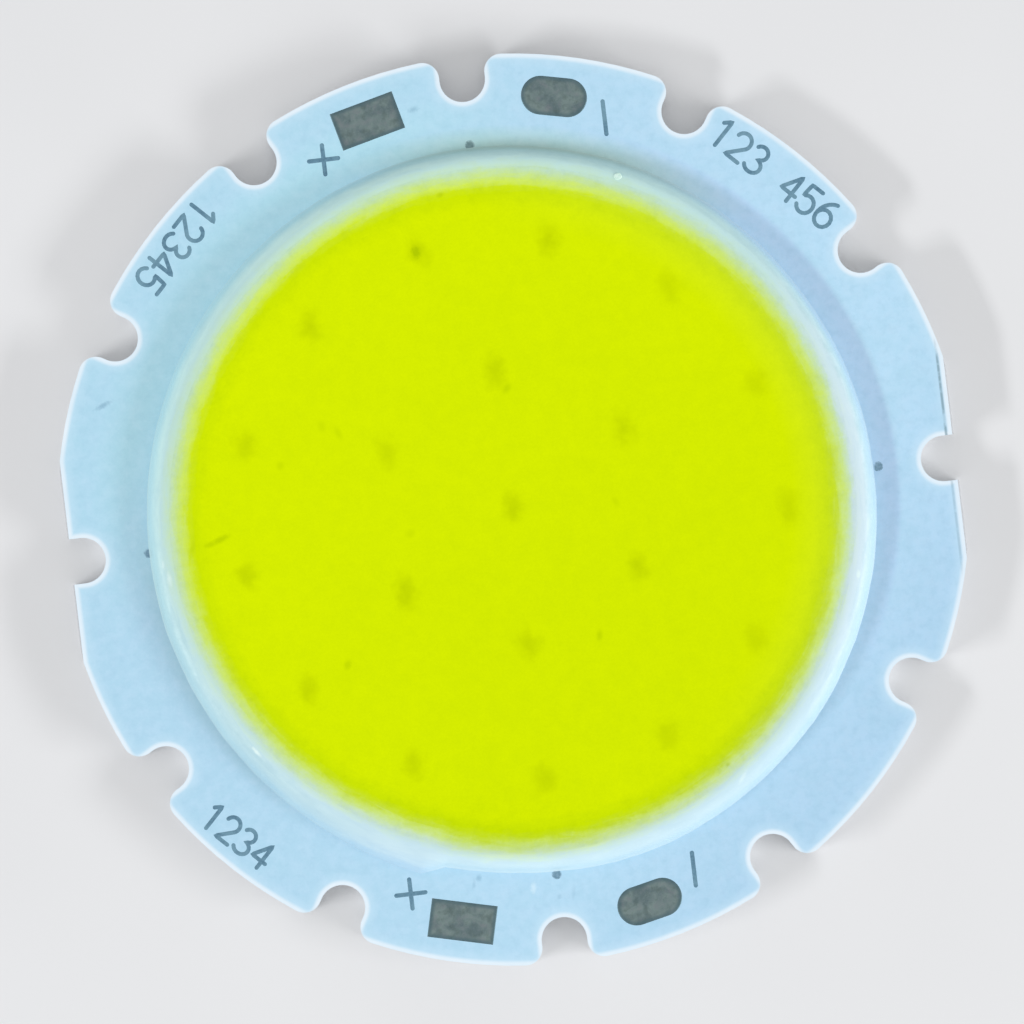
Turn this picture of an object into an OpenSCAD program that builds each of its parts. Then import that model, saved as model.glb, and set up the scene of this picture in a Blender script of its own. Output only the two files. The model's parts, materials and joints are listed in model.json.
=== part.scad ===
// Round chip-on-board LED module.
// A slotted aluminium board carries twenty flip chips, wired as two strings of
// ten in parallel. A silicone dam holds one disc of phosphor gel over the chips.
// The origin is at the centre of the board's underside and the light leaves along +Z.

/* [Board] */
// Diameter of the round board
board_d = 40; // [36:0.5:50]
// Thickness of the aluminium plate
plate_t = 1; // [0.8:0.1:2]
// Thickness of the insulating layer under the copper
dielectric_t = 0.1; // [0.06:0.02:0.16]
// How far each snapped flat lies inside the round edge
flat_inset = 0.5; // [0.3:0.05:0.8]
// Depth of the score that each flat was snapped along, on either face
score_depth = 0.34; // [0.2:0.02:0.36]
// Slope of the score's walls, from upright
score_slope = 15; // [10:1:25]

/* [Rim slots] */
// Number of screw slots round the rim
slot_count = 12; // [4, 8, 12]
// Width of a slot, and of the screw that it takes
slot_w = 2; // [1.6:0.1:2.4]
// Depth of a slot from the round edge
slot_depth = 2; // [1.6:0.1:2.3]
// Rounding of the slot's mouth
slot_lip_r = 0.75; // [0.4:0.05:0.9]

/* [Copper] */
// Thickness of the copper
copper_t = 0.035; // [0.035:0.035:0.105]
// Width of the traces between the chips
trace_w = 1.2; // [0.8:0.1:1.4]
// Least gap between two traces
trace_gap = 0.25; // [0.2:0.05:0.35]
// Straight run of a trace out of each chip
trace_lead = 0.8; // [0.6:0.1:1]
// Width of the two half rings that feed the strings
bus_w = 1.2; // [0.8:0.1:1.3]
// Width of the traces from the half rings to the solder pads
feed_w = 1.6; // [1:0.1:1.8]
// How far the half rings lie inside the dam's outer edge
bus_inset = 0.4; // [0.3:0.05:0.6]

/* [Solder mask] */
// Thickness of the white mask over the copper
mask_cover = 0.02; // [0.015:0.005:0.04]
// How far the mask laps over the copper round a solder pad
pad_lap = 0.15; // [0.1:0.05:0.3]

/* [Solder pads] */
// Length of a solder pad along the rim
pad_l = 2.9; // [2.4:0.1:3.2]
// Width of a solder pad
pad_w = 1.7; // [1.4:0.1:1.8]
// Distance from the round edge to a pad
pad_inset = 0.95; // [0.8:0.05:1]
// Turn of the square positive pads from the Y axis
positive_turn = 13.8; // [13:0.2:16]
// Turn of the round-ended negative pads from the Y axis
negative_turn = 12.4; // [12:0.2:16]
// How far the tin stands proud of the mask
tin_proud = 0.02; // [0.01:0.01:0.05]

/* [Alignment dots] */
// Diameter of the alignment dots
dot_d = 0.45; // [0.3:0.05:0.6]
// Distance of the dots' centres outside the dam's edge
dot_offset = 0.1; // [0:0.05:0.4]

/* [Chips] */
// Width of a chip
chip_w = 0.56; // [0.4:0.02:0.8]
// Length of a chip, across its two solder joints
chip_l = 0.9; // [0.8:0.02:1.2]
// Thickness of a chip
chip_t = 0.15; // [0.1:0.01:0.25]
// Bare rim of a chip round its two contacts
chip_rim = 0.06; // [0.04:0.01:0.1]
// Gap between the two contacts of a chip
contact_gap = 0.2; // [0.15:0.01:0.26]
// Spare room between the links of the outer ring of chips and the half rings
ring_spare = 0.48; // [0.2:0.04:1]
// Radial step from one ring of chips to the next
ring_step = 6; // [5:0.5:7]

/* [Dam] */
// Width of the bare rim between the dam and the round edge
rim_w = 4; // [3.6:0.1:5]
// Width of the dam's bead on the board
dam_w = 1.6; // [1.4:0.05:2]
// Height of the bead
dam_h = 0.7; // [0.6:0.02:0.7]

/* [Phosphor gel] */
// Depth of the gel at the middle
gel_h = 0.5; // [0.35:0.01:0.55]
// How far short of the bead's crest the gel creeps up its inner flank
gel_stop = 0.25; // [0.15:0.05:0.35]
// Thickness of the gel's outer edge, where it ends on the bead
gel_edge_t = 0.03; // [0.02:0.01:0.06]
// Radius of the curve by which the gel climbs to the dam
meniscus_r = 1.4; // [1:0.1:2]

/* [Hidden] */
$fn = 96;
CENTRE_COUNT = 1;
INNER_COUNT = 6;
OUTER_COUNT = 13;
CHIP_COUNT = CENTRE_COUNT + INNER_COUNT + OUTER_COUNT;
FIRST_INNER = CENTRE_COUNT + 1;
FIRST_OUTER = FIRST_INNER + INNER_COUNT;

// Each string from the positive to the negative half ring, as [chip, side].
// The side is that of the contact where the current comes in: +1 is towards +Y.
STRINGS = [
    [[17, -1], [16, 1], [4, 1], [1, -1], [3, -1], [15, -1], [14, 1], [13, 1], [2, 1], [12, -1]],
    [[18, 1], [19, 1], [5, -1], [6, 1], [20, 1], [8, 1], [9, -1], [7, -1], [10, -1], [11, -1]]
];
STRING_NAMES = ["a", "b"];
LINK_COUNT = len(STRINGS[0]) - 1;

// Levels of the layers
dielectric_z = plate_t;
copper_z = dielectric_z + dielectric_t;
tin_z = copper_z + copper_t;
mask_z = tin_z + mask_cover;
mask_t = mask_z - copper_z;

board_r = board_d / 2;
flat_x = board_r - flat_inset;
score_run = score_depth * tan(score_slope);
slot_r = board_r - slot_depth + slot_w / 2;
pad_r = board_r - pad_inset - pad_w / 2;
dam_r = board_r - rim_w;
bus_r = dam_r - bus_inset - bus_w / 2;

contact_w = chip_w - 2 * chip_rim;
contact_l = (chip_l - contact_gap) / 2 - chip_rim;
contact_y = (contact_gap + contact_l) / 2;

// The rounds at a trace's bends and ends are a little wider than its straights
bend_d = 1.04 * trace_w;

// The outer ring of chips is as wide as its traces leave room for inside the half rings
outer_r = bus_r - (bus_w + bend_d) / 2 - trace_gap - ring_spare - trace_lead - contact_y;
inner_r = outer_r - ring_step;

// The bead's section is a segment of a circle that stands on the mask
bead_mid_r = dam_r - dam_w / 2;
bead_r = (pow(dam_w / 2, 2) + pow(dam_h, 2)) / (2 * dam_h);
bead_drop = bead_r - dam_h;

// The gel ends on the bead's inner flank
gel_edge_h = sqrt(pow(bead_r, 2) - pow(gel_stop, 2)) - bead_drop + gel_edge_t;
gel_rise = gel_edge_h - gel_h;
meniscus_run = sqrt(pow(meniscus_r, 2) - pow(meniscus_r - gel_rise, 2));
gel_edge_r = bead_mid_r - gel_stop;

EPS = 0.01;

function link_name(s, i) = str("chip_link_", STRING_NAMES[s], i);
function pad_name(sign, i) = str(sign, "_pad_", i);
function joints_name(s) = str("solder_joints_", STRING_NAMES[s]);
function chip_name(i) = str("led_chip_", i);

function polar(r, a) = r * [cos(a), sin(a)];
function ring_angle(i) = i < FIRST_OUTER
    ? 30 + (i - FIRST_INNER) * 360 / INNER_COUNT
    : 270 + (i - FIRST_OUTER) * 360 / OUTER_COUNT;
function chip_at(i) = i < FIRST_INNER
    ? [0, 0]
    : polar(i < FIRST_OUTER ? inner_r : outer_r, ring_angle(i));
function contact_at(i, side) = chip_at(i) + [0, side * contact_y];
function lead_at(i, side) = contact_at(i, side) + [0, side * trace_lead];
function on_bus(p) = bus_r * p / norm(p);

// Pads 1 are towards +Y and pads 2 towards -Y
function positive_angle(i) = i == 1 ? 90 + positive_turn : 270 - positive_turn;
function negative_angle(i) = i == 1 ? 90 - negative_turn : 270 + negative_turn;

// ---------------------------------------------------------------- board

// A slot on a snapped flat keeps its sharp corners, the others are rounded
module slot(rounded) {
    translate([slot_r, 0]) circle(d = slot_w);
    translate([slot_r, -slot_w / 2]) square([slot_depth, slot_w]);
    if (rounded) {
        for (side = [-1, 1]) scale([1, side]) slot_lip();
    }
}

// The corner between the slot's wall and the round edge, less its fillet
module slot_lip() {
    lip_y = slot_w / 2 + slot_lip_r;
    lip_x = sqrt(pow(board_r - slot_lip_r, 2) - pow(lip_y, 2));
    beyond = 1.1;
    difference() {
        polygon([[lip_x, 0], [beyond * board_r, 0], beyond * [lip_x, lip_y], [lip_x, lip_y]]);
        translate([lip_x, lip_y]) circle(slot_lip_r);
    }
}

module rim() {
    difference() {
        circle(board_r, $fn = 240);
        for (i = [0:slot_count - 1]) {
            a = i * 360 / slot_count;
            rotate(a) slot(rounded = abs(sin(a)) > EPS);
        }
    }
}

module board_outline() {
    intersection() {
        rim();
        square([2 * flat_x, 2 * board_d], center = true);
    }
}

// The snapped flats show the score's two slopes and the broken web between them
module score_section() {
    right = [
        [flat_x, -EPS],
        [flat_x, 0],
        [flat_x + score_run, score_depth],
        [flat_x + score_run, plate_t - score_depth],
        [flat_x, plate_t],
        [flat_x, plate_t + EPS]
    ];
    left = [for (i = [len(right) - 1:-1:0]) [-right[i].x, right[i].y]];
    polygon(concat(right, left));
}

module base_plate() {
    color("silver")
    intersection() {
        linear_extrude(plate_t) rim();
        rotate([90, 0, 0]) linear_extrude(2 * board_d, center = true) score_section();
    }
}

module dielectric_layer() {
    color("lightgray")
    translate([0, 0, dielectric_z]) linear_extrude(dielectric_t) board_outline();
}

// ---------------------------------------------------------------- copper

module straight(a, b, w) {
    run = b - a;
    translate(a) rotate(atan2(run.y, run.x)) translate([0, -w / 2]) square([norm(run), w]);
}

module trace(points) {
    for (p = points) translate(p) circle(d = bend_d);
    for (i = [1:len(points) - 1]) straight(points[i - 1], points[i], trace_w);
}

// The ground beyond a chip's middle gap, which belongs to its other contact
module far_side(i, side) {
    half_w = bend_d / 2 + trace_gap;
    reach = contact_y + trace_lead + half_w;
    translate(chip_at(i)) scale([1, -side])
        translate([-half_w, -contact_gap / 2]) square([2 * half_w, contact_gap / 2 + reach]);
}

module sector(r, from, to) {
    steps = ceil((to - from) / 30);
    polygon(concat([[0, 0]], [for (i = [0:steps]) polar(r, from + (to - from) * i / steps)]));
}

module half_ring(from, to) {
    intersection() {
        difference() {
            circle(bus_r + bus_w / 2);
            circle(bus_r - bus_w / 2);
        }
        sector(board_d, from, to);
    }
}

module link_shape(s, i) {
    from = STRINGS[s][i - 1];
    to = STRINGS[s][i];
    exit_side = -from[1];
    entry_side = to[1];
    difference() {
        trace([
            contact_at(from[0], exit_side),
            lead_at(from[0], exit_side),
            lead_at(to[0], entry_side),
            contact_at(to[0], entry_side)
        ]);
        far_side(from[0], exit_side);
        far_side(to[0], entry_side);
    }
}

// The short trace between a half ring and the first or last chip of a string
module bus_branch(i, side) {
    difference() {
        trace([on_bus(lead_at(i, side)), lead_at(i, side), contact_at(i, side)]);
        far_side(i, side);
    }
}

// A half ring ends at the middle of a feed, which covers its corners
module bus_feed(a) {
    straight(polar(bus_r - bus_w / 2, a), polar(pad_r, a), feed_w);
}

module positive_bus_shape() {
    half_ring(positive_angle(1), positive_angle(2));
    for (i = [1, 2]) {
        bus_feed(positive_angle(i));
        positive_pad_shape(i, pad_lap);
    }
    for (string = STRINGS) bus_branch(string[0][0], string[0][1]);
}

module negative_bus_shape() {
    half_ring(negative_angle(2) - 360, negative_angle(1));
    for (i = [1, 2]) {
        bus_feed(negative_angle(i));
        negative_pad_shape(i, pad_lap);
    }
    for (string = STRINGS) {
        last = string[LINK_COUNT];
        bus_branch(last[0], -last[1]);
    }
}

module copper_layer() {
    color("peru") translate([0, 0, copper_z]) linear_extrude(copper_t) children();
}

// ---------------------------------------------------------------- mask, pads and dots

module positive_pad_shape(i, grow = 0) {
    rotate(positive_angle(i) - 90) translate([0, pad_r])
        square([pad_l + 2 * grow, pad_w + 2 * grow], center = true);
}

module negative_pad_shape(i, grow = 0) {
    end_x = (pad_l - pad_w) / 2;
    rotate(negative_angle(i) - 90) translate([0, pad_r]) {
        for (side = [-1, 1]) translate([side * end_x, 0]) circle(d = pad_w + 2 * grow);
        square([2 * end_x, pad_w + 2 * grow], center = true);
    }
}

module dot_shapes() {
    for (a = [0:90:270]) translate(polar(dam_r + dot_offset, a)) circle(d = dot_d);
}

module contact_shapes(i) {
    for (side = [-1, 1]) {
        translate(contact_at(i, side)) square([contact_w, contact_l], center = true);
    }
}

module solder_mask() {
    color("lightblue")
    difference() {
        translate([0, 0, copper_z]) linear_extrude(mask_t) board_outline();
        translate([0, 0, copper_z - EPS]) linear_extrude(copper_t + EPS) {
            positive_bus_shape();
            negative_bus_shape();
            for (s = [0, 1]) for (i = [1:LINK_COUNT]) link_shape(s, i);
        }
        translate([0, 0, copper_z - EPS]) linear_extrude(mask_t + 2 * EPS) {
            for (i = [1, 2]) {
                positive_pad_shape(i);
                negative_pad_shape(i);
            }
            dot_shapes();
            for (i = [1:CHIP_COUNT]) contact_shapes(i);
        }
    }
}

module alignment_dots() {
    color("slategray") translate([0, 0, copper_z]) linear_extrude(mask_t) dot_shapes();
}

module tin_layer() {
    color("dimgray") translate([0, 0, tin_z]) linear_extrude(mask_cover + tin_proud) children();
}

// ---------------------------------------------------------------- chips

module led_chip(i) {
    color("khaki")
    translate(concat(chip_at(i), mask_z)) translate([-chip_w / 2, -chip_l / 2, 0])
        cube([chip_w, chip_l, chip_t]);
}

module solder_joints(s) {
    color("gainsboro")
    translate([0, 0, tin_z]) linear_extrude(mask_cover) {
        for (chip = STRINGS[s]) contact_shapes(chip[0]);
    }
}

// ---------------------------------------------------------------- dam and gel

module bead_circle() {
    translate([bead_mid_r, -bead_drop]) circle(bead_r);
}

module dam_ring() {
    color("white")
    translate([0, 0, mask_z]) rotate_extrude($fn = 240) intersection() {
        bead_circle();
        translate([bead_mid_r - dam_w, 0]) square([2 * dam_w, 2 * dam_h]);
    }
}

module gel_section() {
    level_r = gel_edge_r - meniscus_run;
    difference() {
        square([gel_edge_r, gel_edge_h]);
        translate([-EPS, gel_h]) square([level_r + EPS, gel_edge_h]);
        translate([level_r, gel_h + meniscus_r]) circle(meniscus_r, $fn = 240);
        bead_circle();
    }
}

module phosphor_gel() {
    color("yellow")
    difference() {
        translate([0, 0, mask_z]) rotate_extrude($fn = 240) gel_section();
        for (i = [1:CHIP_COUNT]) led_chip(i);
    }
}

// ---------------------------------------------------------------- nodes

base_plate();
dielectric_layer();
copper_layer() positive_bus_shape();  // positive_bus
copper_layer() negative_bus_shape();  // negative_bus
for (s = [0, 1]) for (i = [1:LINK_COUNT]) {
    copper_layer() link_shape(s, i);
}
solder_mask();
alignment_dots();
for (i = [1, 2]) {
    tin_layer() positive_pad_shape(i);
    tin_layer() negative_pad_shape(i);
}
for (s = [0, 1]) {
    solder_joints(s);
}
for (i = [1:CHIP_COUNT]) {
    led_chip(i);
}
dam_ring();
phosphor_gel();
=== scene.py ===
"""Looks of a round chip-on-board LED module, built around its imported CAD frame."""

import json
import math
import random

import bmesh
import bpy
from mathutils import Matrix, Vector, noise


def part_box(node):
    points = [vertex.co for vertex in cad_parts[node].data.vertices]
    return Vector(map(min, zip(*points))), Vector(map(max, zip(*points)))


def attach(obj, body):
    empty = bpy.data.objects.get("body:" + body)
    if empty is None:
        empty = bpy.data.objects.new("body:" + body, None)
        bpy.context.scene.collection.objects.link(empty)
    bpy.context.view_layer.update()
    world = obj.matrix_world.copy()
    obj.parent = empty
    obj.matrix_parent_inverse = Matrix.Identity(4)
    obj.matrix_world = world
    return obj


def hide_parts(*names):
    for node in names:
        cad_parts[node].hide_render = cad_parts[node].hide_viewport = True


MM = 0.001

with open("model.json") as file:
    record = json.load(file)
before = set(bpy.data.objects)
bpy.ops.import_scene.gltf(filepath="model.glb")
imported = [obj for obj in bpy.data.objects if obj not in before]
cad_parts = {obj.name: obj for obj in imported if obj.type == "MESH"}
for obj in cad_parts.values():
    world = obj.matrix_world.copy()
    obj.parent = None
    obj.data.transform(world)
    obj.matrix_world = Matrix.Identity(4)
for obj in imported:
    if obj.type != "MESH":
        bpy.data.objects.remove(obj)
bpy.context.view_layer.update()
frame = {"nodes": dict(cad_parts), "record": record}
nodes = frame["nodes"]
random.seed(40)

# ---------------------------------------------------------------- sizes from the CAD

_, mask_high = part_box("solder_mask")
MASK_TOP = mask_high.z
_, dam_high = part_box("dam_ring")
DAM_TOP = dam_high.z
DAM_OUT = dam_high.x
DAM_W = 1.6 * MM
DAM_MID = DAM_OUT - DAM_W / 2
gel_low, gel_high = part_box("phosphor_gel")
GEL_FLOOR = gel_low.z
GEL_R = gel_high.x
CHIPS = [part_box(f"led_chip_{i}") for i in range(1, 21)]

# The materials work in mm. The slots' round bottoms are centred at SLOT_MID, the score on the
# right flat lies SCORE_IN inside it, and the dots are centred DOT_OUT outside the dam.
BOARD_R, SLOT_MID, SLOT_R = 20.0, 19.0, 1.0
SLOT_STEP = math.radians(30)
FLAT_X = mask_high.x / MM
SCORE_IN = 0.26
DOT_OUT = 0.1

# How the hand-laid bead strays from its circle: degrees, outer edge, inner edge, in mm.
# Its end lies beside its start at 250 degrees.
BEAD_PATH = (
    (0, -0.2, -0.14),
    (30, -0.25, -0.18),
    (60, -0.15, -0.12),
    (90, -0.12, 0.0),
    (130, -0.06, 0.05),
    (180, -0.01, 0.08),
    (205, 0.05, 0.02),
    (226, 0.15, 0.0),
    (240, 0.29, -0.03),
    (249, 0.38, -0.06),
    (252.5, -0.14, 0.1),
    (258, -0.17, 0.16),
    (270, -0.12, 0.18),
    (280, 0.0, 0.12),
    (290, 0.03, 0.06),
    (320, 0.03, -0.02),
    (345, -0.1, -0.1),
    (360, -0.2, -0.14),
)

# Faint marks on the mask: x, y, direction in degrees, half length, half width, darkness
MARKS = (
    (-17.3, 6.66, 21, 0.5, 0.15, 0.55),
    (-2.3, 17.93, 10, 0.32, 0.16, 0.4),
    (-3.42, -15.86, 60, 0.2, 0.16, 0.4),
    (-3.65, -16.1, 80, 0.3, 0.1, 0.25),
    (0.0, -17.1, 60, 0.16, 0.12, 0.25),
    (0.65, -16.95, 80, 0.45, 0.12, 0.15),
)
# A pale smear on the mask, and painted highlights (glints) along the bead, in the same terms
SMEARS = ((-1.08, -16.58, 80, 0.34, 0.17, 0.7),)
GLINTS = (
    (-12.42, -9.19, 126.5, 0.42, 0.1, 0.9),
    (-15.3, -1.25, 94, 0.4, 0.13, 0.5),
    (-15.5, -0.6, 92, 0.25, 0.08, 0.4),
    (14.66, -4.6, 80, 0.26, 0.13, 0.8),
    (8.6, -12.8, 55, 0.5, 0.12, 0.4),
)
# Faint things caught in the gel, in the same terms
GEL_MARKS = (
    (-13.35, 0.04, 12, 0.45, 0.18, 0.5),
    (-12.9, 0.2, 20, 0.6, 0.2, 0.65),
    (-2.9, 11.7, 95, 0.36, 0.27, 1.2),
    (3.1, -5.9, 80, 0.34, 0.2, 0.5),
    (-8.0, -5.9, 65, 0.3, 0.22, 0.48),
    (0.35, 5.3, 50, 0.36, 0.22, 0.45),
    (-9.9, 3.1, 60, 0.28, 0.24, 0.32),
    (-7.2, 4.2, 110, 0.46, 0.2, 0.28),
    (-7.9, 4.6, 100, 0.36, 0.24, 0.26),
    (-4.6, -0.5, 30, 0.34, 0.25, 0.24),
    (4.5, -0.2, 115, 0.34, 0.2, 0.24),
    (-1.55, 14.07, 20, 0.22, 0.15, 0.5),
    (8.0, -12.2, 50, 0.16, 0.12, 0.5),
    (-14.1, 0.1, 80, 0.4, 0.14, 0.3),
)


def stray(degrees, column):
    """The bead's stray at this angle, from one column of its path."""
    for a, b in zip(BEAD_PATH, BEAD_PATH[1:]):
        if degrees <= b[0]:
            t = (degrees - a[0]) / (b[0] - a[0])
            return a[column] + (b[column] - a[column]) * t
    return 0.0


def polar(r, degrees, z=0.0):
    a = math.radians(degrees)
    return Vector((r * math.cos(a), r * math.sin(a), z))


# ---------------------------------------------------------------- shader helpers


def srgb(r, g, b):
    """A linear colour from 0 to 255 screen values."""

    def lin(v):
        v /= 255
        return v / 12.92 if v <= 0.04045 else ((v + 0.055) / 1.055) ** 2.4

    return (lin(r), lin(g), lin(b), 1.0)


class Tree:
    """A material's node tree, with short calls for the nodes that repeat."""

    def __init__(self, name):
        self.mat = bpy.data.materials.new(name)
        self.mat.use_nodes = True
        self.t = self.mat.node_tree
        self.t.nodes.clear()
        out = self.t.nodes.new("ShaderNodeOutputMaterial")
        self.bsdf = self.t.nodes.new("ShaderNodeBsdfPrincipled")
        self.link(self.bsdf.outputs[0], out.inputs[0])
        coords = self.t.nodes.new("ShaderNodeTexCoord")
        self.mm = self.vec("MULTIPLY", coords.outputs["Object"], (1000, 1000, 1000))

    def link(self, a, b):
        self.t.links.new(a, b)

    def put(self, socket, value):
        if isinstance(value, bpy.types.NodeSocket):
            self.link(value, socket)
        else:
            socket.default_value = value

    def set(self, **values):
        for name, value in values.items():
            self.put(self.bsdf.inputs[name.replace("_", " ")], value)

    def vec(self, op, a, b=None):
        n = self.t.nodes.new("ShaderNodeVectorMath")
        n.operation = op
        self.put(n.inputs[0], a)
        if b is not None:
            self.put(n.inputs[1], b)
        return n.outputs["Value"] if op in ("LENGTH", "DOT_PRODUCT", "DISTANCE") else n.outputs[0]

    def math(self, op, *inputs):
        n = self.t.nodes.new("ShaderNodeMath")
        n.operation = op
        for socket, value in zip(n.inputs, inputs):
            self.put(socket, value)
        return n.outputs[0]

    def plus(self, a, b):
        return self.math("ADD", a, b)

    def minus(self, a, b):
        return self.math("SUBTRACT", a, b)

    def times(self, a, b):
        return self.math("MULTIPLY", a, b)

    def joined(self, *values):
        n = self.t.nodes.new("ShaderNodeCombineXYZ")
        for socket, value in zip(n.inputs, values):
            self.put(socket, value)
        return n.outputs[0]

    def xyz(self, v):
        n = self.t.nodes.new("ShaderNodeSeparateXYZ")
        self.link(v, n.inputs[0])
        return n.outputs

    def stretch(self, x, y, z):
        return self.vec("MULTIPLY", self.mm, (x, y, z))

    def radius(self):
        """Distance in mm from the board's axis."""
        return self.vec("LENGTH", self.stretch(1, 1, 0))

    def noise(
        self, scale, detail=3.0, rough=0.5, at=None, offset=None, distortion=0.0, output="Fac"
    ):
        n = self.t.nodes.new("ShaderNodeTexNoise")
        where = at or self.mm
        if offset:
            where = self.vec("ADD", where, offset)
        self.link(where, n.inputs["Vector"])
        n.inputs["Scale"].default_value = scale
        n.inputs["Detail"].default_value = detail
        n.inputs["Roughness"].default_value = rough
        n.inputs["Distortion"].default_value = distortion
        return n.outputs[output]

    def range(self, value, low, high, to_low=0.0, to_high=1.0, smooth=False):
        n = self.t.nodes.new("ShaderNodeMapRange")
        if smooth:
            n.interpolation_type = "SMOOTHSTEP"
        self.put(n.inputs["Value"], value)
        self.put(n.inputs["From Min"], low)
        self.put(n.inputs["From Max"], high)
        self.put(n.inputs["To Min"], to_low)
        self.put(n.inputs["To Max"], to_high)
        return n.outputs[0]

    def ramp(self, value, stops):
        n = self.t.nodes.new("ShaderNodeValToRGB")
        self.put(n.inputs[0], value)
        first, last = stops[0], stops[-1]
        els = n.color_ramp.elements
        els[0].position, els[0].color = first
        els[1].position, els[1].color = last
        for place, colour in stops[1:-1]:
            els.new(place).color = colour
        return n.outputs[0]

    def mix(self, fac, a, b, kind="MIX"):
        n = self.t.nodes.new("ShaderNodeMix")
        n.data_type = "RGBA"
        n.blend_type = kind
        self.put(n.inputs[0], fac)
        self.put(n.inputs[6], a)
        self.put(n.inputs[7], b)
        return n.outputs[2]

    def tint(self, fac, colour, red, green, blue):
        """The colour times three factors, as far as fac says."""
        return self.mix(fac, colour, (red, green, blue, 1.0), "MULTIPLY")

    def bump(self, height, depth_mm, strength):
        n = self.t.nodes.new("ShaderNodeBump")
        n.inputs["Strength"].default_value = strength
        n.inputs["Distance"].default_value = depth_mm * MM
        self.link(height, n.inputs["Height"])
        self.link(n.outputs[0], self.bsdf.inputs["Normal"])


# ---------------------------------------------------------------- materials


def board_edge(m):
    """Distance in mm from a point of the board to its slotted, flat-sided edge."""
    x, y, _ = m.xyz(m.mm)
    r = m.vec("LENGTH", m.joined(x, y))
    turn = m.math("ARCTAN2", y, x)
    fold = m.math("WRAP", m.plus(turn, SLOT_STEP / 2), SLOT_STEP, 0.0)
    fold = m.minus(fold, SLOT_STEP / 2)
    u = m.times(r, m.math("COSINE", fold))
    v = m.times(r, m.math("SINE", fold))
    past = m.math("MINIMUM", m.minus(u, SLOT_MID), 0.0)
    slot = m.minus(m.vec("LENGTH", m.joined(past, v)), SLOT_R)
    edge = m.math("SMOOTH_MIN", m.minus(BOARD_R, r), slot, 0.45)
    return m.math("MINIMUM", edge, m.minus(FLAT_X, m.math("ABSOLUTE", x)))


def marked(m, marks, ragged):
    """0 away from the marks, and each mark's darkness at its middle."""
    total = None
    for x, y, turn, length, width, dark in marks:
        spot = m.vec("SUBTRACT", m.mm, (x, y, 0))
        along = m.vec("DOT_PRODUCT", spot, polar(1 / length, turn))
        across = m.vec("DOT_PRODUCT", spot, polar(1 / width, turn + 90))
        away = m.vec("LENGTH", m.joined(along, across))
        away = m.plus(away, m.range(ragged, 0.3, 0.7, -0.2, 0.2))
        one = m.range(away, 1.1, 0.1, 0.0, dark, smooth=True)
        total = one if total is None else m.math("MAXIMUM", total, one)
    return total


def lean(m, degrees, reach):
    """0 on the far side of the board and 1 on the side that lies towards degrees."""
    return m.range(m.vec("DOT_PRODUCT", m.mm, polar(1, degrees)), -reach, reach)


def mask_tone_with_shade(m):
    """The mask's colour, with painted shade that makes it a little darker on the left."""
    return m.mix(lean(m, 5, 16), srgb(178, 217, 240), srgb(188, 226, 251))


def paint_bead_shadow(m, colour):
    """Paints shade on the ring beside the bead: a green-tinted painted shadow at the top, greener
    painted shade at the left, a painted dark crease at the lower left, and a lilac painted shadow
    band at the right.
    """
    r = m.radius()
    top = m.range(lean(m, 77, 16), 0.93, 0.995)
    colour = m.tint(m.times(m.range(r, 16.9, 16.0), top), colour, 0.97, 0.95, 0.74)
    colour = m.tint(m.times(m.range(r, 16.4, 15.95), top), colour, 0.94, 0.93, 0.94)
    left = m.times(m.range(lean(m, 135, 16), 0.8, 0.97), m.range(r, 18.6, 17.2, 0.3, 1.0))
    colour = m.tint(left, colour, 0.99, 1.06, 0.99)
    low = m.times(m.range(r, 16.7, 16.1), m.range(lean(m, 202, 16), 0.95, 0.985))
    colour = m.tint(low, colour, 0.9, 0.9, 0.86)
    far = m.times(m.range(r, 17.1, 16.8, smooth=True), m.range(r, 15.7, 16.4, 0.5, 1.0))
    right = m.times(far, m.range(lean(m, 22, 16), 0.8, 0.97))
    return m.tint(right, colour, 0.975, 0.935, 0.99)


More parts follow.
